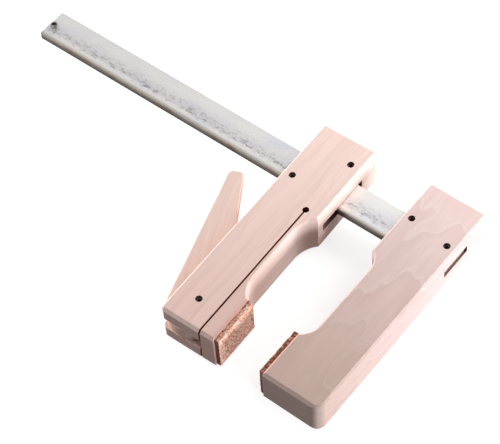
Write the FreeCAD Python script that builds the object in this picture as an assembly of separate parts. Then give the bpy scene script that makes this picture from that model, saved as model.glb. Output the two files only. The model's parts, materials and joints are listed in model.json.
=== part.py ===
import FreeCAD, Part
import math
import os

# Wooden cam clamp, lying on its side, in millimetres and degrees.
# It is modelled in a bench frame: X runs along the rail towards the fixed arm and is 0 at that
# arm's wooden inner face, Y runs from the jaws to the rail and is 0 at the rail's near edge,
# and Z is 0 halfway through the rail. At the end everything moves so that the middle of the
# fixed jaw pad's face is the origin.

# Rail, a flat steel bar
rail_width = 20.0
rail_thickness = 5.0
rail_free_length = 252.0
rail_end_recess = 1.0
rail_edge_radius = 0.7
rail_end_corner_radius = 1.2

# Both arms
jaw_reach = 110.0
arris = 1.0
tip_chamfer = 1.7
throat_depth = 5.95
throat_tip_end = 80.0

# Fixed arm
fixed_width = 35.4
fixed_thickness = 23.4
fixed_head = 38.4
fixed_tip_corner_radius = 6.0
fixed_corner_radius = 1.5
fixed_throat_start = 15.5
fixed_cove_radius = 13.0

# Sliding arm
slider_width = 34.4
slider_thickness = 26.0
slider_head = 37.1
slider_tip_corner_radius = 3.0
slider_corner_radius = 1.2
slider_throat_start = 18.0
slider_cove_radius = 19.0
slider_rest_position = 41.6
slider_rest_tilt = 1.4

# Mortises for the rail
fixed_mortise_far_gap = 1.2
fixed_mortise_clearance = 0.05
slider_mortise_near = 13.6
slider_mortise_far = 23.3
slider_mortise_clearance = 0.2

# Rolled spring pins
pin_diameter = 4.0
pin_wall = 0.75
pin_slit = 0.6
pin_sink = 1.8
pin_press_clearance = 0.01
pin_running_clearance = 0.04
fixed_inner_pin_u = 5.1
fixed_inner_pin_v = 12.9
fixed_outer_pin_u = 30.2
fixed_outer_pin_v = 9.1
guide_inner_pin_depth = 6.6
guide_outer_pin_margin = 5.8
guide_inner_rail_gap = 0.04
guide_outer_rail_gap = 0.16
stop_pin_end_distance = 4.0
stop_pin_offset = -1.3
stop_pin_proud = 2.2

# The way that each pin's slit points
stop_slit_turn = 200
fixed_inner_slit_turn = 60
fixed_outer_slit_turn = 140
guide_inner_slit_turn = 100
guide_outer_slit_turn = 250
pivot_slit_turn = 20

# Flexible leaf sawn from the sliding arm
leaf_thickness = 8.5
kerf_width = 0.95
relief_hole_diameter = 3.8
relief_hole_above_throat = 1.6
leaf_root_radius = 3.0
leaf_root_clearance = 0.05

# Cork pads
pad_thickness = 2.75
pad_length = 29.5
pad_tip_margin = 1.2
pad_edge_margin = 0.2

# Cam lever
cam_pivot_depth = 21.1
cam_pivot_reach = 94.0
lever_thickness = 8.0
lever_slot_width = 8.5
lever_length = 91.2
lever_arris = 0.5
lever_inner_angle = 30.2
lever_outer_angle = 15.5
lever_tip_inner_radius = 2.0
lever_tip_outer_radius = 3.4
lever_stop_gap = 0.4
lever_full_turn = 90.0
cam_rise_per_degree = 0.04
cam_gap = 0.1
cam_ramp_start = -16.0
cam_ramp_end = 2.0

# Numbers that follow from the driving sizes
pin_radius = pin_diameter / 2
jaw_pad_middle = -jaw_reach + pad_tip_margin + pad_length / 2
slider_rest_radians = math.radians(slider_rest_tilt)
leaf_neck_middle = (leaf_thickness + throat_depth) / 2
guide_outer_pin_depth = slider_width - guide_outer_pin_margin

# How far cutters reach past what they cut, and settings of the drawing
margin = 5.0
half_turn = 180.0
same_place = 1e-4
cam_curve_steps = 24
settling_rounds = 20


def point(u, v, z=0.0):
    return FreeCAD.Vector(u, v, z)


def line(start, end):
    return Part.LineSegment(start, end).toShape()


def arc(start, middle, end):
    return Part.Arc(start, middle, end).toShape()


def slab(edges, low, high):
    """A flat piece with the outline given by its edges, between two heights."""
    face = Part.Face(Part.Wire(edges))
    face.translate(point(0, 0, low))
    return face.extrude(point(0, 0, high - low))


def polygon_slab(corners, low, high):
    edges = [line(a, b) for a, b in zip(corners, corners[1:] + corners[:1])]
    return slab(edges, low, high)


def block(u, v, z):
    """A box between pairs of limits."""
    corner = point(min(u), min(v), min(z))
    return Part.makeBox(abs(u[1] - u[0]), abs(v[1] - v[0]), abs(z[1] - z[0]), corner)


def upright(u, v, radius, height):
    """A cylinder along Z, centred on the middle plane."""
    return Part.makeCylinder(radius, height, point(u, v, -height / 2))


def flat_edges(shape, height):
    """The edges that lie in the planes at plus and minus this height."""
    found = []
    for edge in shape.Edges:
        box = edge.BoundBox
        if box.ZLength < same_place and abs(abs(box.ZMin) - height) < same_place:
            found.append(edge)
    return found


def edges_along_z(shape, u, v):
    """The straight edges along Z that pass through this place."""
    found = []
    for edge in shape.Edges:
        box = edge.BoundBox
        if box.XLength < same_place and box.YLength < same_place:
            if abs(box.XMin - u) < same_place and abs(box.YMin - v) < same_place:
                found.append(edge)
    return found


def cove_run(radius):
    """How far along the arm a cove takes to reach the throat's full depth."""
    return math.sqrt(radius ** 2 - (radius - throat_depth) ** 2)


def throat_cutter(side, start, cove_radius, height):
    """The shallow recess between a jaw and the rail, with a round cove at each end."""
    run = cove_run(cove_radius)
    half = math.sqrt(cove_radius ** 2 - (cove_radius - throat_depth / 2) ** 2)
    share = run - half
    near_mouth = point(0, -start)
    near_middle = point(side * throat_depth / 2, -start - share)
    near_floor = point(side * throat_depth, -start - run)
    far_mouth = point(0, -throat_tip_end)
    far_middle = point(side * throat_depth / 2, -throat_tip_end + share)
    far_floor = point(side * throat_depth, -throat_tip_end + run)
    outer_near = point(-side * margin, -start)
    outer_far = point(-side * margin, -throat_tip_end)
    edges = [
        arc(near_mouth, near_middle, near_floor),
        line(near_floor, far_floor),
        arc(far_floor, far_middle, far_mouth),
        line(far_mouth, outer_far),
        line(outer_far, outer_near),
        line(outer_near, near_mouth),
    ]
    return slab(edges, -height, height)


def arm_blank(side, width, thickness, head, throat_start, cove_radius, tip_radius, corner_radius):
    """The whole wooden arm before its mortise and holes. It lies on the given side of its inner face."""
    half = thickness / 2
    body = block((0, side * width), (-jaw_reach, head), (-half, half))
    outer = side * width
    body = body.makeFillet(tip_radius, edges_along_z(body, outer, -jaw_reach))
    body = body.makeFillet(corner_radius, edges_along_z(body, outer, head) + edges_along_z(body, 0, head))
    body = body.cut(throat_cutter(side, throat_start, cove_radius, thickness))
    body = body.makeChamfer(arris, flat_edges(body, half))
    for up in (-1, 1):
        low = point(-margin * side, -jaw_reach - margin, up * (half - tip_chamfer - margin))
        high = point(-margin * side, -jaw_reach + tip_chamfer + margin, up * (half + margin))
        far = point(-margin * side, -jaw_reach - margin, up * (half + margin))
        wedge = Part.Face(Part.makePolygon([low, high, far, low]))
        body = body.cut(wedge.extrude(point(side * (width + 2 * margin), 0, 0)))
    return body


def rolled_pin(u, v, length, slit_turn):
    """A spring pin: a tube rolled from steel strip, with a narrow slit along it."""
    tube = upright(u, v, pin_radius, length)
    tube = tube.cut(upright(u, v, pin_radius - pin_wall, length + margin))
    slit = block((0, pin_diameter), (-pin_slit / 2, pin_slit / 2), (-length, length))
    slit.rotate(point(0, 0), point(0, 0, 1), slit_turn)
    slit.translate(point(u, v))
    return tube.cut(slit)


def rail():
    """The bar, with its long edges and the corners of its free end eased."""
    far_end = fixed_width - rail_end_recess
    half = rail_thickness / 2
    bar = block((-rail_free_length, far_end), (0, rail_width), (-half, half))
    corners = edges_along_z(bar, -rail_free_length, 0) + edges_along_z(bar, -rail_free_length, rail_width)
    bar = bar.makeFillet(rail_end_corner_radius, corners)
    bar = bar.makeFillet(rail_edge_radius, flat_edges(bar, half))
    for u, v in (stop_pin_place(), *fixed_pin_places()):
        bar = bar.cut(upright(u, v, pin_radius + pin_press_clearance, 2 * rail_thickness))
    return bar


def stop_pin_place():
    return -rail_free_length + stop_pin_end_distance, rail_width / 2 + stop_pin_offset


def fixed_pin_places():
    inner = (fixed_inner_pin_u, fixed_inner_pin_v)
    outer = (fixed_outer_pin_u, fixed_outer_pin_v)
    return inner, outer


def fixed_arm():
    """The arm at the end of the rail, with a close mortise right through it."""
    arm = arm_blank(1, fixed_width, fixed_thickness, fixed_head, fixed_throat_start,
                    fixed_cove_radius, fixed_tip_corner_radius, fixed_corner_radius)
    half = rail_thickness / 2 + fixed_mortise_clearance
    near = -fixed_mortise_clearance
    far = rail_width + fixed_mortise_far_gap
    arm = arm.cut(block((-margin, fixed_width + margin), (near, far), (-half, half)))
    for u, v in fixed_pin_places():
        arm = arm.cut(upright(u, v, pin_radius + pin_press_clearance, 2 * fixed_thickness))
    return arm


def guide_inner_pin_place():
    """Where the inner guide pin stands in the sliding arm's own frame."""
    return -guide_inner_pin_depth, rail_width + guide_inner_rail_gap + pin_radius


def guide_outer_pin_place():
    """The outer pin passes the rail's near edge when the arm has its resting tilt."""
    inner_u, inner_v = guide_inner_pin_place()
    across = -guide_outer_pin_depth - inner_u
    down = -guide_outer_rail_gap - pin_radius - inner_v
    along = (down - across * math.sin(slider_rest_radians)) / math.cos(slider_rest_radians)
    return -guide_outer_pin_depth, inner_v + along


def slider_blank():
    return arm_blank(-1, slider_width, slider_thickness, slider_head, slider_throat_start,
                     slider_cove_radius, slider_tip_corner_radius, slider_corner_radius)


def leaf_pivot():
    """The place in the leaf's root about which it bends."""
    return -leaf_neck_middle, -slider_throat_start - cove_run(slider_cove_radius)


def leaf_zone(root_radius):
    """Everything that belongs to the leaf: below its round root and outside the saw kerf."""
    u, v = leaf_pivot()
    back = -leaf_thickness
    rise = math.sqrt(root_radius ** 2 - (back - u) ** 2)
    left = point(back, v + rise)
    top = point(u, v + root_radius)
    right = point(u + root_radius, v)
    edges = [
        arc(left, top, right),
        line(right, point(margin, v)),
        line(point(margin, v), point(margin, -jaw_reach - margin)),
        line(point(margin, -jaw_reach - margin), point(back, -jaw_reach - margin)),
        line(point(back, -jaw_reach - margin), left),
    ]
    return slab(edges, -slider_thickness, slider_thickness)


def clamping_leaf():
    """The springy tongue between the saw kerf and the throat."""
    return slider_blank().common(leaf_zone(leaf_root_radius))


def slider_mortise():
    """A long slot with round ends, in which the rail has room to tilt."""
    radius = rail_thickness / 2 + slider_mortise_clearance
    low = -slider_mortise_near
    high = slider_mortise_far
    slot = block((-slider_width - margin, margin), (low + radius, high - radius), (-radius, radius))
    for v in (low + radius, high - radius):
        start = point(-slider_width - margin, v)
        slot = slot.fuse(Part.makeCylinder(radius, slider_width + 2 * margin, start, point(1, 0, 0)))
    return slot


def lever_slot():
    """The slot for the cam lever. It is open to the kerf, the outer face and the tip.

    Its sloping end stops the resting lever at the slot's mouth, and clears the cam at full turn."""
    rest_turn = math.radians(lever_inner_angle)
    stop_distance = cam_base_radius() + lever_stop_gap
    mouth_u = slider_width - cam_pivot_depth
    mouth_v = (stop_distance + mouth_u * math.cos(rest_turn)) / math.sin(rest_turn)
    widest = cam_radius(lever_full_turn - lever_inner_angle) + lever_stop_gap
    turn = math.atan2(mouth_u, mouth_v) + math.asin(widest / math.hypot(mouth_u, mouth_v))
    kerf_u = -leaf_thickness - kerf_width / 2
    outer_u = -slider_width - margin

    def end_point(u):
        return point(u, -cam_pivot_reach + mouth_v - (u + slider_width) / math.tan(turn))

    bottom = -jaw_reach - margin
    corners = [end_point(kerf_u), end_point(outer_u), point(outer_u, bottom), point(kerf_u, bottom)]
    return polygon_slab(corners, -lever_slot_width / 2, lever_slot_width / 2)


def sliding_arm():
    """The arm that runs along the rail, without its leaf."""
    arm = slider_blank().cut(leaf_zone(leaf_root_radius + leaf_root_clearance))
    hole_u = -leaf_thickness - kerf_width / 2
    hole_v = -slider_throat_start + relief_hole_above_throat
    kerf_u = (-leaf_thickness - kerf_width, -leaf_thickness)
    height = (-slider_thickness, slider_thickness)
    arm = arm.cut(block(kerf_u, (-jaw_reach - margin, hole_v), height))
    arm = arm.cut(upright(hole_u, hole_v, relief_hole_diameter / 2, 2 * slider_thickness))
    arm = arm.cut(slider_mortise())
    arm = arm.cut(lever_slot())
    u, v = guide_inner_pin_place()
    arm = arm.cut(upright(u, v, pin_radius + pin_running_clearance, 2 * slider_thickness))
    for u, v in (guide_outer_pin_place(), (-cam_pivot_depth, -cam_pivot_reach)):
        arm = arm.cut(upright(u, v, pin_radius + pin_press_clearance, 2 * slider_thickness))
    return arm


def cam_touch():
    """Radius and clockwise angle of the point of the cam that stands next to the leaf at rest."""
    reach = cam_pivot_depth - leaf_thickness - cam_gap
    rise = math.degrees(cam_rise_per_degree)
    angle = math.atan(rise / reach)
    for _ in range(settling_rounds):
        angle = math.atan(rise / (reach / math.cos(angle)))
    return reach / math.cos(angle), math.degrees(angle)


def cam_radius(angle):
    """The cam's radius at a clockwise angle from the direction of the leaf.

    It is constant as far as the ramp, and then grows evenly with the angle."""
    touch, touch_angle = cam_touch()
    half_ramp = (cam_ramp_end - cam_ramp_start) / 2
    base = touch - cam_rise_per_degree * (touch_angle - cam_ramp_end + half_ramp)
    if angle <= cam_ramp_start:
        return base
    if angle < cam_ramp_end:
        return base + cam_rise_per_degree * (angle - cam_ramp_start) ** 2 / (4 * half_ramp)
    return base + cam_rise_per_degree * (half_ramp + angle - cam_ramp_end)


def cam_base_radius():
    return cam_radius(-half_turn)


def cam_place(angle):
    turn = math.radians(-angle)
    radius = cam_radius(angle)
    return point(-cam_pivot_depth + radius * math.cos(turn), -cam_pivot_reach + radius * math.sin(turn))


def cam_lever():
    """The lever with its spiral cam, in the place where it rests against the end of its slot."""
    inner = math.radians(lever_inner_angle)
    outer = math.radians(lever_outer_angle)
    middle = (inner + outer) / 2
    inner_way = point(-math.sin(inner), math.cos(inner))
    outer_way = point(-math.sin(outer), math.cos(outer))
    middle_way = point(-math.sin(middle), math.cos(middle))
    rise = math.degrees(cam_rise_per_degree)
    last = half_turn - lever_outer_angle
    for _ in range(settling_rounds):
        last = half_turn - lever_outer_angle + math.degrees(math.atan(rise / cam_radius(last)))
    first = -lever_inner_angle
    step = (last - first) / cam_curve_steps
    curve_points = [cam_place(first + i * step) for i in range(cam_curve_steps + 1)]
    curve = Part.BSplineCurve()
    curve.interpolate(curve_points)
    pivot = point(-cam_pivot_depth, -cam_pivot_reach)

    def end_corner(start, way):
        here = (start - pivot).dot(middle_way)
        return start + way * ((lever_length - here) / way.dot(middle_way))

    inner_tip = end_corner(curve_points[0], inner_way)
    outer_tip = end_corner(curve_points[-1], outer_way)
    edges = [
        line(inner_tip, curve_points[0]),
        curve.toShape(),
        line(curve_points[-1], outer_tip),
        line(outer_tip, inner_tip),
    ]
    half = lever_thickness / 2
    lever = slab(edges, -half, half)
    lever = lever.makeFillet(lever_tip_inner_radius, edges_along_z(lever, inner_tip.x, inner_tip.y))
    lever = lever.makeFillet(lever_tip_outer_radius, edges_along_z(lever, outer_tip.x, outer_tip.y))
    lever = lever.makeChamfer(lever_arris, flat_edges(lever, half))
    return lever.cut(upright(pivot.x, pivot.y, pin_radius + pin_running_clearance, 2 * lever_thickness))


def jaw_pad(side, thickness):
    """A cork pad glued to a jaw. It lies on the given side of the jaw's face."""
    half = thickness / 2 - arris - pad_edge_margin
    low = -jaw_reach + pad_tip_margin
    return block((0, side * pad_thickness), (low, low + pad_length), (-half, half))


def place_on_rail(shape):
    """Move a piece from the sliding arm's own frame to its resting place and tilt on the rail."""
    u, v = guide_inner_pin_place()
    placed = shape.copy()
    placed.rotate(point(u, v), point(0, 0, 1), slider_rest_tilt)
    placed.translate(point(-slider_rest_position - u, 0))
    return placed


def build():
    fixed_pin_length = fixed_thickness - 2 * pin_sink
    slider_pin_length = slider_thickness - 2 * pin_sink
    stop_pin_length = rail_thickness + 2 * stop_pin_proud
    inner_pin, outer_pin = fixed_pin_places()
    guide_inner_pin = rolled_pin(*guide_inner_pin_place(), slider_pin_length, guide_inner_slit_turn)
    guide_outer_pin = rolled_pin(*guide_outer_pin_place(), slider_pin_length, guide_outer_slit_turn)
    pivot_pin = rolled_pin(-cam_pivot_depth, -cam_pivot_reach, slider_pin_length, pivot_slit_turn)
    pieces = {
        "rail": rail(),
        "rail_stop_pin": rolled_pin(*stop_pin_place(), stop_pin_length, stop_slit_turn),
        "fixed_arm": fixed_arm(),
        "fixed_arm_pin_inner": rolled_pin(*inner_pin, fixed_pin_length, fixed_inner_slit_turn),
        "fixed_arm_pin_outer": rolled_pin(*outer_pin, fixed_pin_length, fixed_outer_slit_turn),
        "fixed_jaw_pad": jaw_pad(-1, fixed_thickness),
        "sliding_arm": place_on_rail(sliding_arm()),
        "guide_pin_inner": place_on_rail(guide_inner_pin),
        "guide_pin_outer": place_on_rail(guide_outer_pin),
        "cam_pivot_pin": place_on_rail(pivot_pin),
        "cam_lever": place_on_rail(cam_lever()),
        "clamping_leaf": place_on_rail(clamping_leaf()),
        "sliding_jaw_pad": place_on_rail(jaw_pad(1, slider_thickness)),
    }
    origin = point(-pad_thickness, jaw_pad_middle)
    os.makedirs("parts", exist_ok=True)
    for name, shape in pieces.items():
        shape.translate(origin * -1)
        shape.exportStep("parts/" + name + ".step")
        box = shape.BoundBox
        print(name, "solids", len(shape.Solids), "valid", shape.isValid(), "volume", round(shape.Volume, 1),
              "box", round(box.XMin, 2), round(box.XMax, 2), round(box.YMin, 2), round(box.YMax, 2),
              round(box.ZMin, 2), round(box.ZMax, 2))


build()
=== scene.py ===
# %% [markdown]
# # Dressing a wooden cam clamp
# The clamp is two wooden arms on a flat steel rail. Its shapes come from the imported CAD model, so
# this lesson is about finishes: raw hornbeam, zinc-plated steel, spring steel and pressed cork.
# Every length is in metres, and small ones are written as so many times mm.

# %% Load the frame
import bpy
import bmesh
import json
import math
from mathutils import Matrix, Vector, noise


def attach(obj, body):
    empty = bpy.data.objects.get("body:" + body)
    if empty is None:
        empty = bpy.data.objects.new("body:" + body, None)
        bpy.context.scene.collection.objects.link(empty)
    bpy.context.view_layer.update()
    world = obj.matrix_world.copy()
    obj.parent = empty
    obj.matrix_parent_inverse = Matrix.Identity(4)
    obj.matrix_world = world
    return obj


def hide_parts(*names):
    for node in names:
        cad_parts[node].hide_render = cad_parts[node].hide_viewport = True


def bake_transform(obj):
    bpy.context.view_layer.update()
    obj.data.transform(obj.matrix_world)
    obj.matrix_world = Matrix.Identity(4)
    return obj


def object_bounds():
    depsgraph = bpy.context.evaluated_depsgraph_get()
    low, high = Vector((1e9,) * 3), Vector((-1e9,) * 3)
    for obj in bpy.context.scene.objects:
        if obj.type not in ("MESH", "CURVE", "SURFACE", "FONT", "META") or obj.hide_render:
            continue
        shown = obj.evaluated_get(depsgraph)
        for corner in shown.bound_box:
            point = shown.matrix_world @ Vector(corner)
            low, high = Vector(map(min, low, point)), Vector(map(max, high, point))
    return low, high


mm = 0.001
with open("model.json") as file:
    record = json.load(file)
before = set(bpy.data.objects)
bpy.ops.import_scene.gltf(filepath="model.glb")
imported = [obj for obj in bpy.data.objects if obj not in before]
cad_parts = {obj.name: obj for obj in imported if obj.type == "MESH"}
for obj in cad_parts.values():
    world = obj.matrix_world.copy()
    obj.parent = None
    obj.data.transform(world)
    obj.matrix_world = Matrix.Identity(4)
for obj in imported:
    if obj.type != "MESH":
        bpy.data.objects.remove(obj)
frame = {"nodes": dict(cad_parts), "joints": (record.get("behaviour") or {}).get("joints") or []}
nodes = frame["nodes"]
cad_box = [[round(c, 6) for c in corner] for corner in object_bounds()]
joints = {joint["name"]: joint for joint in frame["joints"]}
print("nodes:", sorted(nodes))

# %% [markdown]
# ## Camera
# A product photographer would stand well back with a long lens, which keeps the arms nearly
# parallel. The place, the direction and the lens were found by matching straight edges of the
# clamp, and the roll is the small tilt of the picture about the line of sight.

# %% Camera
camera_place = Vector((0.30676, -0.35359, 0.77172))
camera_direction = Vector((-0.39124, 0.43523, -0.81087)).normalized()
camera_roll = math.radians(-4.66)
camera_lens = 126.81

level_right = camera_direction.cross(Vector((0, 0, 1))).normalized()
level_up = level_right.cross(camera_direction)
right = level_right * math.cos(camera_roll) + level_up * math.sin(camera_roll)
up = level_up * math.cos(camera_roll) - level_right * math.sin(camera_roll)
turn = Matrix((right, up, -camera_direction)).transposed()
camera = bpy.data.objects.new("camera", bpy.data.cameras.new("camera"))
camera.data.lens = camera_lens
camera.data.sensor_width = 36
camera.matrix_world = Matrix.Translation(camera_place) @ turn.to_4x4()
bpy.context.scene.collection.objects.link(camera)
bpy.context.scene.camera = camera
bpy.context.scene.view_settings.view_transform = "Standard"
print("camera stands", round((camera_place - Vector((0, 0, 0))).length, 3), "m from the jaws")

# %% [markdown]
# ## Colours and nodes
# Colours are easiest to pick as sRGB hex values, but shaders work in linear light, so one function
# turns them. Another adds a shader node with its settings, values and links in one call, which
# keeps a material short enough to read.

# %% Colour and node helpers
def linear(colour):
    """An sRGB hex colour as linear red, green, blue and alpha."""
    parts = [int(colour[i:i + 2], 16) / 255 for i in (0, 2, 4)]
    return [c / 12.92 if c <= 0.04045 else ((c + 0.055) / 1.055) ** 2.4 for c in parts] + [1]


def add(tree, kind, links=None, values=None, ramp=None, **settings):
    """One shader node, with its settings, its unlinked values and what is linked into it."""
    node = tree.nodes.new(kind)
    for name, value in settings.items():
        setattr(node, name, value)
    for socket, value in (values or {}).items():
        node.inputs[socket].default_value = value
    for socket, source in (links or {}).items():
        tree.links.new(source, node.inputs[socket])
    if ramp:
        while len(node.color_ramp.elements) < len(ramp):
            node.color_ramp.elements.new(1)
        for element, (place, colour) in zip(node.color_ramp.elements, ramp):
            element.position = place
            element.color = linear(colour) if isinstance(colour, str) else [colour] * 3 + [1]
    return node


def new_material(name):
    """An empty material and its node tree, with only the output left."""
    material = bpy.data.materials.new(name)
    material.use_nodes = True
    material.node_tree.nodes.clear()
    return material, material.node_tree


def finish_material(tree, surface):
    add(tree, "ShaderNodeOutputMaterial", {"Surface": surface})


def seen_directly(tree):
    """1 for what the camera sees, also in a reflection or through glass, and 0 for light."""
    path = add(tree, "ShaderNodeLightPath")
    seen = add(tree, "ShaderNodeMath", {0: path.outputs["Is Camera Ray"],
               1: path.outputs["Is Glossy Ray"]}, operation="MAXIMUM")
    return add(tree, "ShaderNodeMath", {0: seen.outputs[0],
               1: path.outputs["Is Transmission Ray"]}, operation="MAXIMUM")


# %% [markdown]
# ## Hornbeam
# Hornbeam is a pale, dense, close-grained wood, here steamed to a soft pink and only sanded. The
# eye reads it by three things: broad faint bands of the yearly rings, fine streaks of the fibres
# along the arm, and darker end grain where the saw cut across. Real fibres are much finer, and are
# drawn this wide so that they show in the picture. A picture of wood would show seams
# where faces meet. A solid pattern that fills space doesn't, because every face cuts through the
# same block, as in the real arm.
#
# Where a board is sawn beside the tree's heart, the rings come out as flames. So the pattern
# measures how far each place lies from a heart line that leans a little, and the rings are that
# distance counted in years.
#
# Light hardly gets into the mortises, the pin holes and the saw kerf, so their walls get a painted
# shade, dark brown in the kerf. Boxes in the board's own frame mark those hollows. Only their walls
# lie inside the boxes.

# %% Hornbeam
fibre_width = 0.6 * mm
fibre_stretch = 0.03
streak_width = 3.0 * mm
streak_stretch = 0.02
far = 1.0


def box_mask(tree, place, low, high):
    """1 inside a box and 0 outside it."""
    middle = [(a + b) / 2 for a, b in zip(low, high)]
    half = [(b - a) / 2 for a, b in zip(low, high)]
    shifted = add(tree, "ShaderNodeVectorMath", {0: place}, {1: middle}, operation="SUBTRACT")
    away = add(tree, "ShaderNodeVectorMath", {0: shifted.outputs[0]}, operation="ABSOLUTE")
    share = add(tree, "ShaderNodeVectorMath", {0: away.outputs[0]}, {1: half}, operation="DIVIDE")
    parts = add(tree, "ShaderNodeSeparateXYZ", {"Vector": share.outputs[0]})
    flat = add(tree, "ShaderNodeMath", {0: parts.outputs["X"], 1: parts.outputs["Y"]},
               operation="MAXIMUM")
    most = add(tree, "ShaderNodeMath", {0: flat.outputs[0], 1: parts.outputs["Z"]},
               operation="MAXIMUM")
    return add(tree, "ShaderNodeMath", {0: most.outputs[0]}, {1: 1}, operation="LESS_THAN")


def hornbeam(name, turn, heart, lean, ring, pale, dark, end_dark, hollows=(), rest=False,
             painted_tip_shade=None, line=None, waver=2.5, streak=0.94):
    """Sanded hornbeam. The tree's heart lies at a place beside the piece, along its length.

    A piece that bends keeps its pattern in an attribute named rest. A painted tip shade is two
    places along the piece and the colour that the wood is darkened to from the first to the second,
    a painted shade that adds to the fall-off of the lamp behind. Each ring may start with a thin
    line of another colour, wavers by some ring widths, and carries streaks."""
    material, tree = new_material(name)
    place = add(tree, "ShaderNodeTexCoord")
    spot = place.outputs["Object"]
    if rest:
        spot = add(tree, "ShaderNodeAttribute", attribute_name="rest").outputs["Vector"]
    board = add(tree, "ShaderNodeMapping", {"Vector": spot}, {"Rotation": (0, 0, turn)})
    from_heart = add(tree, "ShaderNodeVectorMath", {0: board.outputs[0]}, {1: heart})
    leaning = add(tree, "ShaderNodeMapping", {"Vector": from_heart.outputs[0]}, {"Rotation": lean})
    slow = add(tree, "ShaderNodeMapping", {"Vector": board.outputs[0]}, {"Scale": (1, 0.4, 1)})
    wander = add(tree, "ShaderNodeTexNoise", {"Vector": slow.outputs[0]},
                 {"Scale": 1 / (18 * mm), "Detail": 2})
    across = add(tree, "ShaderNodeVectorMath", {0: leaning.outputs[0]}, {1: (1, 0, 1)},
                 operation="MULTIPLY")
    radius = add(tree, "ShaderNodeVectorMath", {0: across.outputs[0]}, operation="LENGTH")
    shift = add(tree, "ShaderNodeMath", {0: wander.outputs["Fac"]}, {1: waver * ring},
                operation="MULTIPLY")
    wavy = add(tree, "ShaderNodeMath", {0: radius.outputs["Value"], 1: shift.outputs[0]},
               operation="ADD")
    years = add(tree, "ShaderNodeMath", {0: wavy.outputs[0]}, {1: ring}, operation="DIVIDE")
    season = add(tree, "ShaderNodeMath", {0: years.outputs[0]}, operation="FRACT")
    season_colour = add(tree, "ShaderNodeValToRGB", {"Fac": season.outputs[0]},
                        ramp=[(0.0, line or pale), (0.14, pale), (0.5, pale), (0.93, dark),
                              (1.0, line or pale)])
    blur = add(tree, "ShaderNodeTexNoise", {"W": years.outputs[0]}, {"Scale": 0.6, "Detail": 1},
               noise_dimensions="1D")
    ring_colour = add(tree, "ShaderNodeMixRGB", {"Color1": season_colour.outputs[0],
                      "Fac": blur.outputs["Fac"]}, {"Color2": linear(pale)})
    fine = add(tree, "ShaderNodeMapping", {"Vector": board.outputs[0]},
               {"Scale": (1, fibre_stretch, 1)})
    fibres = add(tree, "ShaderNodeTexNoise", {"Vector": fine.outputs[0]},
                 {"Scale": 1 / fibre_width, "Detail": 3, "Roughness": 0.6})
    long = add(tree, "ShaderNodeMapping", {"Vector": board.outputs[0]},
               {"Scale": (1, streak_stretch, 1)})
    streaks = add(tree, "ShaderNodeTexNoise", {"Vector": long.outputs[0]},
                  {"Scale": 1 / streak_width, "Detail": 2})
    fibre_shade = add(tree, "ShaderNodeValToRGB", {"Fac": fibres.outputs["Fac"]},
                      ramp=[(0.3, 0.95), (0.6, 1.0)])
    streak_shade = add(tree, "ShaderNodeValToRGB", {"Fac": streaks.outputs["Fac"]},
                       ramp=[(0.35, streak), (0.6, 1.0)])
    lines = add(tree, "ShaderNodeMixRGB", {"Color1": fibre_shade.outputs[0],
                "Color2": streak_shade.outputs[0]}, {"Fac": 1}, blend_type="MULTIPLY")
    wood = add(tree, "ShaderNodeMixRGB", {"Color1": ring_colour.outputs[0],
               "Color2": lines.outputs[0]}, {"Fac": 1}, blend_type="MULTIPLY")
    facing = add(tree, "ShaderNodeSeparateXYZ", {"Vector": place.outputs["Normal"]})
    end = add(tree, "ShaderNodeMath", {0: facing.outputs["Y"]}, operation="ABSOLUTE")
    end_grain = add(tree, "ShaderNodeMapRange", {"Value": end.outputs[0]},
                    {"From Min": 0.75, "From Max": 0.97})
    wood = add(tree, "ShaderNodeMixRGB", {"Fac": end_grain.outputs[0], "Color1": wood.outputs[0]},
               {"Color2": linear(end_dark)}, blend_type="MULTIPLY")
    # Painted shade that darkens the piece towards its tip.
    if painted_tip_shade:
        length = add(tree, "ShaderNodeSeparateXYZ", {"Vector": board.outputs[0]})
        share = add(tree, "ShaderNodeMapRange", {"Value": length.outputs["Y"]},
                    {"From Min": painted_tip_shade[0], "From Max": painted_tip_shade[1]})
        wood = add(tree, "ShaderNodeMixRGB", {"Fac": share.outputs[0],
                   "Color1": wood.outputs[0]}, {"Color2": linear(painted_tip_shade[2])}, blend_type="MULTIPLY")
    for low, high, shade in hollows:
        inside = box_mask(tree, board.outputs[0], low, high)
        wood = add(tree, "ShaderNodeMixRGB", {"Fac": inside.outputs[0],
                   "Color1": wood.outputs[0]}, {"Color2": linear(shade)}, blend_type="MULTIPLY")
    bump = add(tree, "ShaderNodeBump", {"Height": fibres.outputs["Fac"]},
               {"Strength": 0.15, "Distance": 0.06 * mm})
    shader = add(tree, "ShaderNodeBsdfPrincipled",
                 {"Base Color": wood.outputs[0], "Normal": bump.outputs[0]},
                 {"Roughness": 0.6, "IOR": 1.45})
    finish_material(tree, shader.outputs[0])
    return material


# %% [markdown]
# ## Where the hollows are
# The sliding arm leans a little on the rail, so its board frame is the shared frame turned back
# by that lean. The leaf's outer face shows where the saw ran. Its arris beside the pad gets a
# painted shade, a little darker than the rest.

# %% Hollows and the three kinds of hornbeam
arm_tilt = math.radians(1.4)
kerf_width = 0.95 * mm
hole_radius = 1.9 * mm
hole_above_pivot = 15.4 * mm
hair = 0.05 * mm
mortise_near = 35.7 * mm
mortise_far = 1.3 * mm
mortise_gap = 0.3 * mm
pin_depth = 1.6 * mm
arris = 1.1 * mm
top_skin = 0.2 * mm

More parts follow.
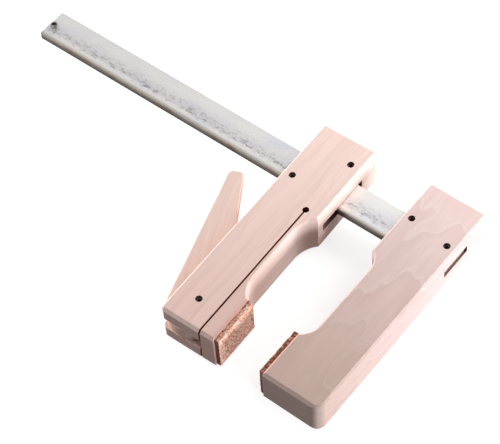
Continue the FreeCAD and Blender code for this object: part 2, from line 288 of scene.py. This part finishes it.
turned_back = Matrix.Rotation(-arm_tilt, 3, "Z")
leaf_corners = [turned_back @ v.co for v in nodes["clamping_leaf"].data.vertices]
arm_corners = [turned_back @ v.co for v in nodes["sliding_arm"].data.vertices]
guide_pin = turned_back @ Vector(joints["arm_tilt"]["pos_m"])
leaf_back = min(corner.x for corner in leaf_corners)
leaf_pivot = turned_back @ Vector(joints["leaf_flex"]["pos_m"])
kerf_middle = leaf_back - kerf_width / 2
hole_middle = leaf_pivot.y + hole_above_pivot
rail_corners = [v.co for v in nodes["rail"].data.vertices]
rail_half = max(corner.z for corner in rail_corners)
rail_near = min(corner.y for corner in rail_corners)
rail_far = max(corner.y for corner in rail_corners)
# Painted shade for the walls of the kerf and its saw hole, and of the other hollows.
painted_kerf_shade = "8C4A30"
shaded = "8C7468"
kerf = ((leaf_back - kerf_width - hair, -far, -far),
        (leaf_back + hair, hole_middle, far), painted_kerf_shade)
arm_top = max(corner.z for corner in arm_corners)
below_top = arm_top - top_skin
hole_reach = hole_radius + hair
saw_hole = ((kerf_middle - hole_reach, hole_middle - hole_reach, -below_top),
            (kerf_middle + hole_reach, hole_middle + hole_reach, below_top), painted_kerf_shade)
sliding_mortise = ((-far, guide_pin.y - mortise_near, -rail_half - mortise_gap),
                   (far, guide_pin.y + mortise_far, rail_half + mortise_gap), shaded)
fixed_mortise = ((-far, rail_near - 2 * hair, -rail_half - 2 * hair),
                 (far, rail_far + mortise_far, rail_half + 2 * hair), shaded)


pad_corners = [turned_back @ v.co for v in nodes["sliding_jaw_pad"].data.vertices]
leaf_front = min(corner.x for corner in pad_corners)
pad_near = min(corner.y for corner in pad_corners)
pad_far = max(corner.y for corner in pad_corners)
# Painted shade on the leaf's arris beside the pad.
painted_arris_shade = ((leaf_front - arris, pad_near, arm_top - arris),
             (leaf_front + hair, pad_far, far), "D8C3BA")


def pin_hollow(pin_name, turn=Matrix.Identity(3)):
    """The upper end of a pin's hole, which gets a painted shade above the pin."""
    corners = [turn @ v.co for v in nodes[pin_name].data.vertices]
    low = [min(corner[i] for corner in corners) - hair for i in range(2)]
    high = [max(corner[i] for corner in corners) + hair for i in range(2)]
    depth = max(corner.z for corner in corners) + pin_depth
    return (*low, -depth), (*high, depth), shaded


sliding_pins = [pin_hollow(name, turned_back)
                for name in ("guide_pin_inner", "guide_pin_outer", "cam_pivot_pin")]
fixed_pins = [pin_hollow(name) for name in ("fixed_arm_pin_inner", "fixed_arm_pin_outer")]
print("kerf at", round(kerf_middle / mm, 2), "mm, its hole at", round(hole_middle / mm, 2), "mm")

pink_wood = dict(turn=-arm_tilt, heart=(0.13, 0, 0.06), lean=(0.02, 0, 0.015), ring=5.0 * mm,
                 pale="F0D4CA", dark="E9CBC0", end_dark="BFB2AC")
arm_hollows = (kerf, saw_hole, sliding_mortise, *sliding_pins)
arm_hornbeam = hornbeam("straight_hornbeam", hollows=arm_hollows, painted_tip_shade=(0.1, 0, "FCF7F6"),
                        **pink_wood)
leaf_hornbeam = hornbeam("springy_hornbeam", hollows=(kerf, painted_arris_shade), rest=True,
                         painted_tip_shade=(0.055, 0.025, "F6EDEB"), **pink_wood)
figured_hornbeam = hornbeam("figured_hornbeam", 0, (-0.015, 0.05, 0.03), (0.2, 0, 0.06), 9.0 * mm,
                            "E3C9C4", "D8BDB6", "BAB2AF", hollows=(fixed_mortise, *fixed_pins),
                            painted_tip_shade=(0.12, -0.01, "E6E0D7"), line="EAD6D0", waver=3.5, streak=0.97)
lever_hornbeam = hornbeam("lever_hornbeam", math.radians(-24), (0.1, 0, 0.02), (0.0, 0, 0.02),
                          4.0 * mm, "F1D5CA", "E6C8BC", "C8B6AC")

# %% [markdown]
# ## Zinc-plated rail
# The rail is a rolled steel bar with a bright zinc plating. Plating like this is neither a mirror
# nor matt: it is pale, a little cloudy, with patches that shimmer blue, lilac and straw, and with
# fine pits from the rolled steel below. Two noises at different scales give the clouds and pits.
# A strip near one edge is specked. A painted shade greys the top towards the near edge, for the
# shading of a rounded corner, and another painted shade darkens the narrow sides and cut ends
# downwards.

# %% Zinc-plated steel
cloud_size = 12 * mm
# Real pits are finer. They are drawn this coarse so that they show.
pit_size = 0.8 * mm
speck_size = 1.5 * mm


def zinc_plated_steel():
    material, tree = new_material("zinc_plated_steel")
    place = add(tree, "ShaderNodeTexCoord")
    drawn = add(tree, "ShaderNodeMapping", {"Vector": place.outputs["Object"]},
                {"Scale": (0.5, 1, 1)})
    clouds = add(tree, "ShaderNodeTexNoise", {"Vector": drawn.outputs[0]},
                 {"Scale": 1 / cloud_size, "Detail": 5, "Roughness": 0.6})
    pits = add(tree, "ShaderNodeTexNoise", {"Vector": place.outputs["Object"]},
               {"Scale": 1 / pit_size, "Detail": 3, "Roughness": 0.65})
    specks = add(tree, "ShaderNodeTexNoise", {"Vector": drawn.outputs[0]},
                 {"Scale": 1 / speck_size, "Detail": 3, "Roughness": 0.7})
    tint = add(tree, "ShaderNodeValToRGB", {"Fac": clouds.outputs["Fac"]},
               ramp=[(0.3, "DFE0E6"), (0.42, "E8E6E7"), (0.55, "ECEBE7"), (0.7, "EBE6E9")])
    pit_shade = add(tree, "ShaderNodeValToRGB", {"Fac": pits.outputs["Fac"]},
                    ramp=[(0.3, 0.85), (0.5, 1.0)])
    colour = add(tree, "ShaderNodeMixRGB", {"Color1": tint.outputs[0],
                 "Color2": pit_shade.outputs[0]}, {"Fac": 1}, blend_type="MULTIPLY")
    spot = add(tree, "ShaderNodeSeparateXYZ", {"Vector": place.outputs["Object"]})
    across = add(tree, "ShaderNodeMapRange", {"Value": spot.outputs["Y"]},
                 {"From Min": rail_near, "From Max": rail_far})
    # Painted shade that greys the top towards the near edge, for the shading of a rounded corner.
    painted_edge_shade = add(tree, "ShaderNodeValToRGB", {"Fac": across.outputs[0]},
                      ramp=[(0.0, "9E9790"), (0.05, "D4CFC9"), (0.12, "FBFAF9"), (0.2, "FFFFFF"),
                            (0.28, "EDEAEC"), (0.45, "F5F4F6"), (0.7, "FFFFFF")])
    stripped = add(tree, "ShaderNodeMixRGB", {"Color1": colour.outputs[0],
                   "Color2": painted_edge_shade.outputs[0]}, {"Fac": 1}, blend_type="MULTIPLY")
    speck_strip = add(tree, "ShaderNodeValToRGB", {"Fac": across.outputs[0]},
                     ramp=[(0.14, 0.0), (0.26, 1.0), (0.36, 0.7), (0.6, 0.0)])
    speck_shade = add(tree, "ShaderNodeValToRGB", {"Fac": specks.outputs["Fac"]},
                      ramp=[(0.36, "BDB9C0"), (0.5, "FFFFFF")])
    speckled = add(tree, "ShaderNodeMixRGB", {"Fac": speck_strip.outputs[0],
                   "Color1": stripped.outputs[0], "Color2": speck_shade.outputs[0]},
                   blend_type="MULTIPLY")
    # Painted shade on the narrow sides and cut ends, darker downwards. The rust patches on them are
    # their own.
    height = add(tree, "ShaderNodeMapRange", {"Value": spot.outputs["Z"]},
                 {"From Min": -rail_half, "From Max": rail_half})
    painted_side_shade = add(tree, "ShaderNodeValToRGB", {"Fac": height.outputs[0]},
                      ramp=[(0.0, "2E2A26"), (0.5, "56504A"), (0.85, "7D766E"), (1.0, "A8A198")])
    rust = add(tree, "ShaderNodeValToRGB", {"Fac": clouds.outputs["Fac"]},
               ramp=[(0.5, "FFFFFF"), (0.65, "DFC09E")])
    side_shade_and_rust = add(tree, "ShaderNodeMixRGB", {"Color1": painted_side_shade.outputs[0],
                    "Color2": rust.outputs[0]}, {"Fac": 1}, blend_type="MULTIPLY")
    facing = add(tree, "ShaderNodeSeparateXYZ", {"Vector": place.outputs["Normal"]})
    side = add(tree, "ShaderNodeMath", {0: facing.outputs["Y"]}, operation="ABSOLUTE")
    cut_end = add(tree, "ShaderNodeMath", {0: facing.outputs["X"]}, operation="ABSOLUTE")
    narrow = add(tree, "ShaderNodeMath", {0: cut_end.outputs[0], 2: side.outputs[0]}, {1: 0.52},
                 operation="MULTIPLY_ADD")
    narrow_share = add(tree, "ShaderNodeMapRange", {"Value": narrow.outputs[0]},
                       {"From Min": 0.3, "From Max": 0.8})
    final = add(tree, "ShaderNodeMixRGB", {"Fac": narrow_share.outputs[0],
                "Color1": speckled.outputs[0], "Color2": side_shade_and_rust.outputs[0]})
    roughness = add(tree, "ShaderNodeMapRange", {"Value": pits.outputs["Fac"]},
                    {"To Min": 0.55, "To Max": 0.38})
    bump = add(tree, "ShaderNodeBump", {"Height": pits.outputs["Fac"]},
               {"Strength": 0.2, "Distance": 0.05 * mm})
    shader = add(tree, "ShaderNodeBsdfPrincipled", {"Base Color": final.outputs[0],
                 "Roughness": roughness.outputs[0], "Normal": bump.outputs[0]},
                 {"Metallic": 1})
    finish_material(tree, shader.outputs[0])
    return material


zinc = zinc_plated_steel()

# %% [markdown]
# ## Spring steel
# The pins are rolled from hardened strip. Hardening leaves a dark oily grey, and driving them in
# rubs the outside bright, so the colour wanders between the two.

# %% Spring steel
def spring_steel():
    material, tree = new_material("spring_steel")
    place = add(tree, "ShaderNodeTexCoord")
    wear = add(tree, "ShaderNodeTexNoise", {"Vector": place.outputs["Object"]},
               {"Scale": 1 / (1.5 * mm), "Detail": 3})
    colour = add(tree, "ShaderNodeValToRGB", {"Fac": wear.outputs["Fac"]},
                 ramp=[(0.35, "77726E"), (0.65, "B8B2AD")])
    bump = add(tree, "ShaderNodeBump", {"Height": wear.outputs["Fac"]},
               {"Strength": 0.2, "Distance": 0.05 * mm})
    shader = add(tree, "ShaderNodeBsdfPrincipled",
                 {"Base Color": colour.outputs[0], "Normal": bump.outputs[0]},
                 {"Metallic": 1, "Roughness": 0.35})
    finish_material(tree, shader.outputs[0])
    return material


pin_steel = spring_steel()

# %% [markdown]
# ## Cork
# The pads are pressed cork: grains about a millimetre across, each its own shade of brown, glued
# with dark gaps between them. The grains are made as real bumps further on, and every corner of
# that fine mesh then knows its grain's shade and how near the gap is. The finish reads those two
# values and adds small specks. A third value marks the short ends and the grains next to the wood,
# which get a painted shade, darker than the rest.

# %% Pressed cork
def pressed_cork():
    material, tree = new_material("pressed_cork")
    place = add(tree, "ShaderNodeTexCoord")
    grain = add(tree, "ShaderNodeAttribute", attribute_name="grain")
    gap = add(tree, "ShaderNodeAttribute", attribute_name="gap")
    specks = add(tree, "ShaderNodeTexNoise", {"Vector": place.outputs["Object"]},
                 {"Scale": 1 / (0.35 * mm), "Detail": 2})
    colour = add(tree, "ShaderNodeValToRGB", {"Fac": grain.outputs["Fac"]},
                 ramp=[(0.0, "C8806A"), (0.2, "FFC0A6"), (0.6, "FFD8C3"), (1.0, "FFE6D6")])
    gap_shade = add(tree, "ShaderNodeValToRGB", {"Fac": gap.outputs["Fac"]},
                    ramp=[(0.0, "9C7060"), (0.14, "FFFFFF")])
    speck_shade = add(tree, "ShaderNodeValToRGB", {"Fac": specks.outputs["Fac"]},
                      ramp=[(0.32, "E8D2C8"), (0.46, "FFFFFF")])
    gapped = add(tree, "ShaderNodeMixRGB", {"Color1": colour.outputs[0],
                 "Color2": gap_shade.outputs[0]}, {"Fac": 1}, blend_type="MULTIPLY")
    final = add(tree, "ShaderNodeMixRGB", {"Color1": gapped.outputs[0],
                "Color2": speck_shade.outputs[0]}, {"Fac": 1}, blend_type="MULTIPLY")
    # The cut attribute marks the short ends and the grains next to the wood, which get a painted
    # shade.
    cut = add(tree, "ShaderNodeAttribute", attribute_name="cut")
    final = add(tree, "ShaderNodeMixRGB", {"Fac": cut.outputs["Fac"], "Color1": final.outputs[0]},
                {"Color2": linear("96705E")}, blend_type="MULTIPLY")
    bump = add(tree, "ShaderNodeBump", {"Height": specks.outputs["Fac"]},
               {"Strength": 0.3, "Distance": 0.1 * mm})
    shader = add(tree, "ShaderNodeBsdfPrincipled",
                 {"Base Color": final.outputs[0], "Normal": bump.outputs[0]},
                 {"Roughness": 0.85, "IOR": 1.4})
    finish_material(tree, shader.outputs[0])
    return material


cork = pressed_cork()

# %% [markdown]
# ## Finishes on the frame
# A CAD piece whose shape is right keeps it, and only its material slot changes.

# %% Give each node its finish
finishes = {"hornbeam": arm_hornbeam, "cork": cork, "zinc_steel": zinc,
            "spring_steel": pin_steel}
own_wood = {"fixed_arm": figured_hornbeam, "cam_lever": lever_hornbeam}
for name, node in nodes.items():
    for slot in node.material_slots:
        slot.material = own_wood.get(name, finishes[slot.material.name])
print("finishes given to", len(nodes), "nodes")

# %% [markdown]
# ## The springy leaf
# The leaf is sawn from the sliding arm and bends when the cam pushes it. In the frame it is a
# stiff piece on a hinge. The real one curves along its thin neck, so a copy is cut across every
# few millimetres along the neck and keeps its resting shape in an attribute. Its round root grows
# by the hair's breadth that the frame leaves free, so no line shows where the wood really runs on.

# %% The springy leaf
root_radius = 3.0 * mm
root_clearance = 0.05 * mm
neck_length = 43 * mm
leaf_cut_spacing = 1.5 * mm
sharp_angle = math.radians(25)


def merged_copy(node_name, piece_name):
    """A copy of a node as one closed mesh, without the frame's own shading."""
    mesh = nodes[node_name].data.copy()
    mesh.name = piece_name
    if "custom_normal" in mesh.attributes:
        mesh.attributes.remove(mesh.attributes["custom_normal"])
    piece = bpy.data.objects.new(piece_name, mesh)
    bpy.context.scene.collection.objects.link(piece)
    form = bmesh.new()
    form.from_mesh(mesh)
    bmesh.ops.remove_doubles(form, verts=form.verts, dist=0.001 * mm)
    return piece, form


def set_sharp(form):
    """Smooth shading, with the edges kept sharp that turn more than a small angle."""
    for face in form.faces:
        face.smooth = True
    for edge in form.edges:
        edge.smooth = len(edge.link_faces) == 2 and edge.calc_face_angle(0) < sharp_angle


leaf_joint = joints["leaf_flex"]
pivot = Vector(leaf_joint["pos_m"])
arm_way = Vector((-math.sin(arm_tilt), math.cos(arm_tilt), 0))
leaf, form = merged_copy("clamping_leaf", "springy_leaf")
for corner in form.verts:
    out = Vector((corner.co.x - pivot.x, corner.co.y - pivot.y, 0))
    if abs(out.length - root_radius) < 0.02 * mm and out.dot(arm_way) > -0.01 * mm:
        corner.co += out.normalized() * root_clearance
for step in range(1, int(neck_length / leaf_cut_spacing) + 1):
    everything = form.verts[:] + form.edges[:] + form.faces[:]
    bmesh.ops.bisect_plane(form, geom=everything, dist=0.001 * mm, plane_no=arm_way,
                           plane_co=pivot - arm_way * step * leaf_cut_spacing)
set_sharp(form)
form.to_mesh(leaf.data)
form.free()
rest = leaf.data.attributes.new("rest", "FLOAT_VECTOR", "POINT")
for corner, value in zip(leaf.data.vertices, rest.data):
    value.vector = corner.co
leaf.data.materials.clear()
leaf.data.materials.append(leaf_hornbeam)
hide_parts("clamping_leaf")
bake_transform(leaf)
print("the leaf bends over", round(neck_length / mm), "mm, faces:", len(leaf.data.polygons))

# %% [markdown]
# ## Granular pads
# A pad ground flat still has a crumbly surface and jagged edges. Each pad's box gets a fine grid
# on all sides, and its free sides sink by a fraction of a millimetre, each grain by its own
# amount and more at the gaps. They only sink, so the pad stays within its place, and the side
# that is glued to the wood stays flat.

# %% Granular pads
grid_spacing = 0.4 * mm
grain_size = 1.1 * mm
grain_sink = 0.2 * mm
gap_sink = 0.22 * mm
shade_step = 7.3
sliding_shade_reach = 1.2 * mm
fixed_shade_reach = 6 * mm


def granular_pad(node_name, piece_name, glued_way, shade_reach):
    """A pad whose free sides are sunk grain by grain. The glued side faces the given way.

    The shade reach is how far a painted shade reaches from the wood, at most, and it differs from
    grain to grain."""
    pad, form = merged_copy(node_name, piece_name)
    bmesh.ops.triangulate(form, faces=form.faces)
    bmesh.ops.dissolve_limit(form, angle_limit=math.radians(1), verts=form.verts, edges=form.edges)
    corners = [corner.co.copy() for corner in form.verts]
    across = Vector((-glued_way.y, glued_way.x, 0))
    for way in (glued_way, across, Vector((0, 0, 1))):
        depths = [corner.dot(way) for corner in corners]
        cuts = round((max(depths) - min(depths)) / grid_spacing)
        for cut in range(1, cuts):
            depth = min(depths) + (max(depths) - min(depths)) * cut / cuts
            everything = form.verts[:] + form.edges[:] + form.faces[:]
            bmesh.ops.bisect_plane(form, geom=everything, dist=0.0001 * mm, plane_no=way,
                                   plane_co=way * depth)
    glued_depth = max(corner.dot(glued_way) for corner in corners)
    form.normal_update()
    grain = form.verts.layers.float.new("grain")
    gap = form.verts.layers.float.new("gap")
    cut = form.verts.layers.float.new("cut")
    front_depth = min(corner.dot(glued_way) for corner in corners)
    sinks = []
    for corner in form.verts:
        distances, centres = noise.voronoi(corner.co / grain_size)
        corner[grain] = noise.cell(centres[0] * shade_step) * 0.5 + 0.5
        corner[gap] = min(1, distances[1] - distances[0])
        depth = corner.co.dot(glued_way)
        sideways = abs(corner.normal.dot(across)) > 0.6
        # The short ends, and the grains within the shade reach of the wood, are marked for a
        # painted shade.
        corner[cut] = depth > (front_depth if sideways else glued_depth - shade_reach * corner[grain])
        free = corner.co.dot(glued_way) < glued_depth - 0.1 * mm
        sink = grain_sink * (1 - corner[grain]) + gap_sink * max(0, 1 - 4 * corner[gap])
        sinks.append(corner.normal * -sink if free else Vector())
    for corner, sink in zip(form.verts, sinks):
        corner.co += sink
    for face in form.faces:
        face.smooth = False
    form.to_mesh(pad.data)
    form.free()
    pad.data.materials.clear()
    pad.data.materials.append(cork)
    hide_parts(node_name)
    print(piece_name, "has", len(pad.data.polygons), "faces")
    return pad


arm_side = Vector((math.cos(arm_tilt), math.sin(arm_tilt), 0))
sliding_pad = granular_pad("sliding_jaw_pad", "granular_sliding_pad", -arm_side, sliding_shade_reach)
fixed_pad = granular_pad("fixed_jaw_pad", "granular_fixed_pad", Vector((1, 0, 0)), fixed_shade_reach)
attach(sliding_pad, "clamping_leaf_body")
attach(fixed_pad, "rail_and_fixed_arm")

# %% [markdown]
# ## Floor and light
# The clamp lies on a white table. A near lamp behind it makes the heads brighter than the tips, and
# a painted shade in the wood adds to that.
# Two far low ones from the right light the outer faces and the rounded tip, one from the left
# draws a bright line along the sliding arm's edge, and a weak one lifts the front. The table and
# the sky are white to the camera and to shiny surfaces, while what they give as light stays at a
# plain level, so the wood keeps its colour and the table keeps a soft shadow. The low lamps don't
# show in reflections, or the flat tops would glare in a low view.

# %% Floor
table_half_width = 3
table_glow = 0.78
floor_height = cad_box[0][2]
form = bmesh.new()
bmesh.ops.create_grid(form, x_segments=1, y_segments=1, size=table_half_width)
bmesh.ops.translate(form, verts=form.verts, vec=(0, 0, floor_height))
floor_mesh = bpy.data.meshes.new("studio_table")
form.to_mesh(floor_mesh)
form.free()
floor = bpy.data.objects.new("studio_table", floor_mesh)
bpy.context.scene.collection.objects.link(floor)

table, tree = new_material("white_table")
matt = add(tree, "ShaderNodeBsdfDiffuse", None, {"Color": linear("B4B4B4")})
glow_strength = add(tree, "ShaderNodeMath", {0: seen_directly(tree).outputs[0]},
                    {1: table_glow}, operation="MULTIPLY")
glow = add(tree, "ShaderNodeEmission", {"Strength": glow_strength.outputs[0]})
both = add(tree, "ShaderNodeAddShader", {0: matt.outputs[0], 1: glow.outputs[0]})
finish_material(tree, both.outputs[0])
floor.data.materials.append(table)
print("the table stands at", round(floor_height / mm, 2), "mm")

# %% World
sky_light = 0.05
world = bpy.data.worlds.new("studio")
bpy.context.scene.world = world
world.use_nodes = True
tree = world.node_tree
tree.nodes.clear()
strength = add(tree, "ShaderNodeMapRange", {"Value": seen_directly(tree).outputs[0]},
               {"To Min": sky_light, "To Max": 1.0})
sky = add(tree, "ShaderNodeBackground", {"Strength": strength.outputs[0]})
add(tree, "ShaderNodeOutputWorld", {"Surface": sky.outputs[0]})

# %% Lamps
def soft_lamp(name, place, target, size, power):
    lamp = bpy.data.objects.new(name, bpy.data.lights.new(name, "AREA"))
    lamp.data.shape = "DISK"
    lamp.data.size = size
    lamp.data.energy = power
    way = Vector(target) - Vector(place)
    aim = way.to_track_quat("-Z", "Y").to_matrix().to_4x4()
    lamp.matrix_world = Matrix.Translation(place) @ aim
    bpy.context.scene.collection.objects.link(lamp)
    return lamp


clamp_middle = (-0.03, 0.06, 0)
soft_lamp("lamp_behind", (0.15, 0.45, 0.22), clamp_middle, 0.25, 2.4)
soft_lamp("lamp_front", (-0.5, -0.3, 0.6), clamp_middle, 0.5, 0.8)
low_lamps = [soft_lamp("lamp_right", (1.0, 0.4, 0.15), clamp_middle, 0.3, 7.6),
             soft_lamp("lamp_low_right", (1.0, -0.18, 0.12), clamp_middle, 0.3, 5.2),
             soft_lamp("lamp_left", (-0.9, -0.05, 0.2), clamp_middle, 0.3, 12.5)]
low_lamps[1].data.color = linear("E0ECFF")[:3]
for lamp in low_lamps:
    lamp.visible_glossy = False
print("lamps:", 2 + len(low_lamps))
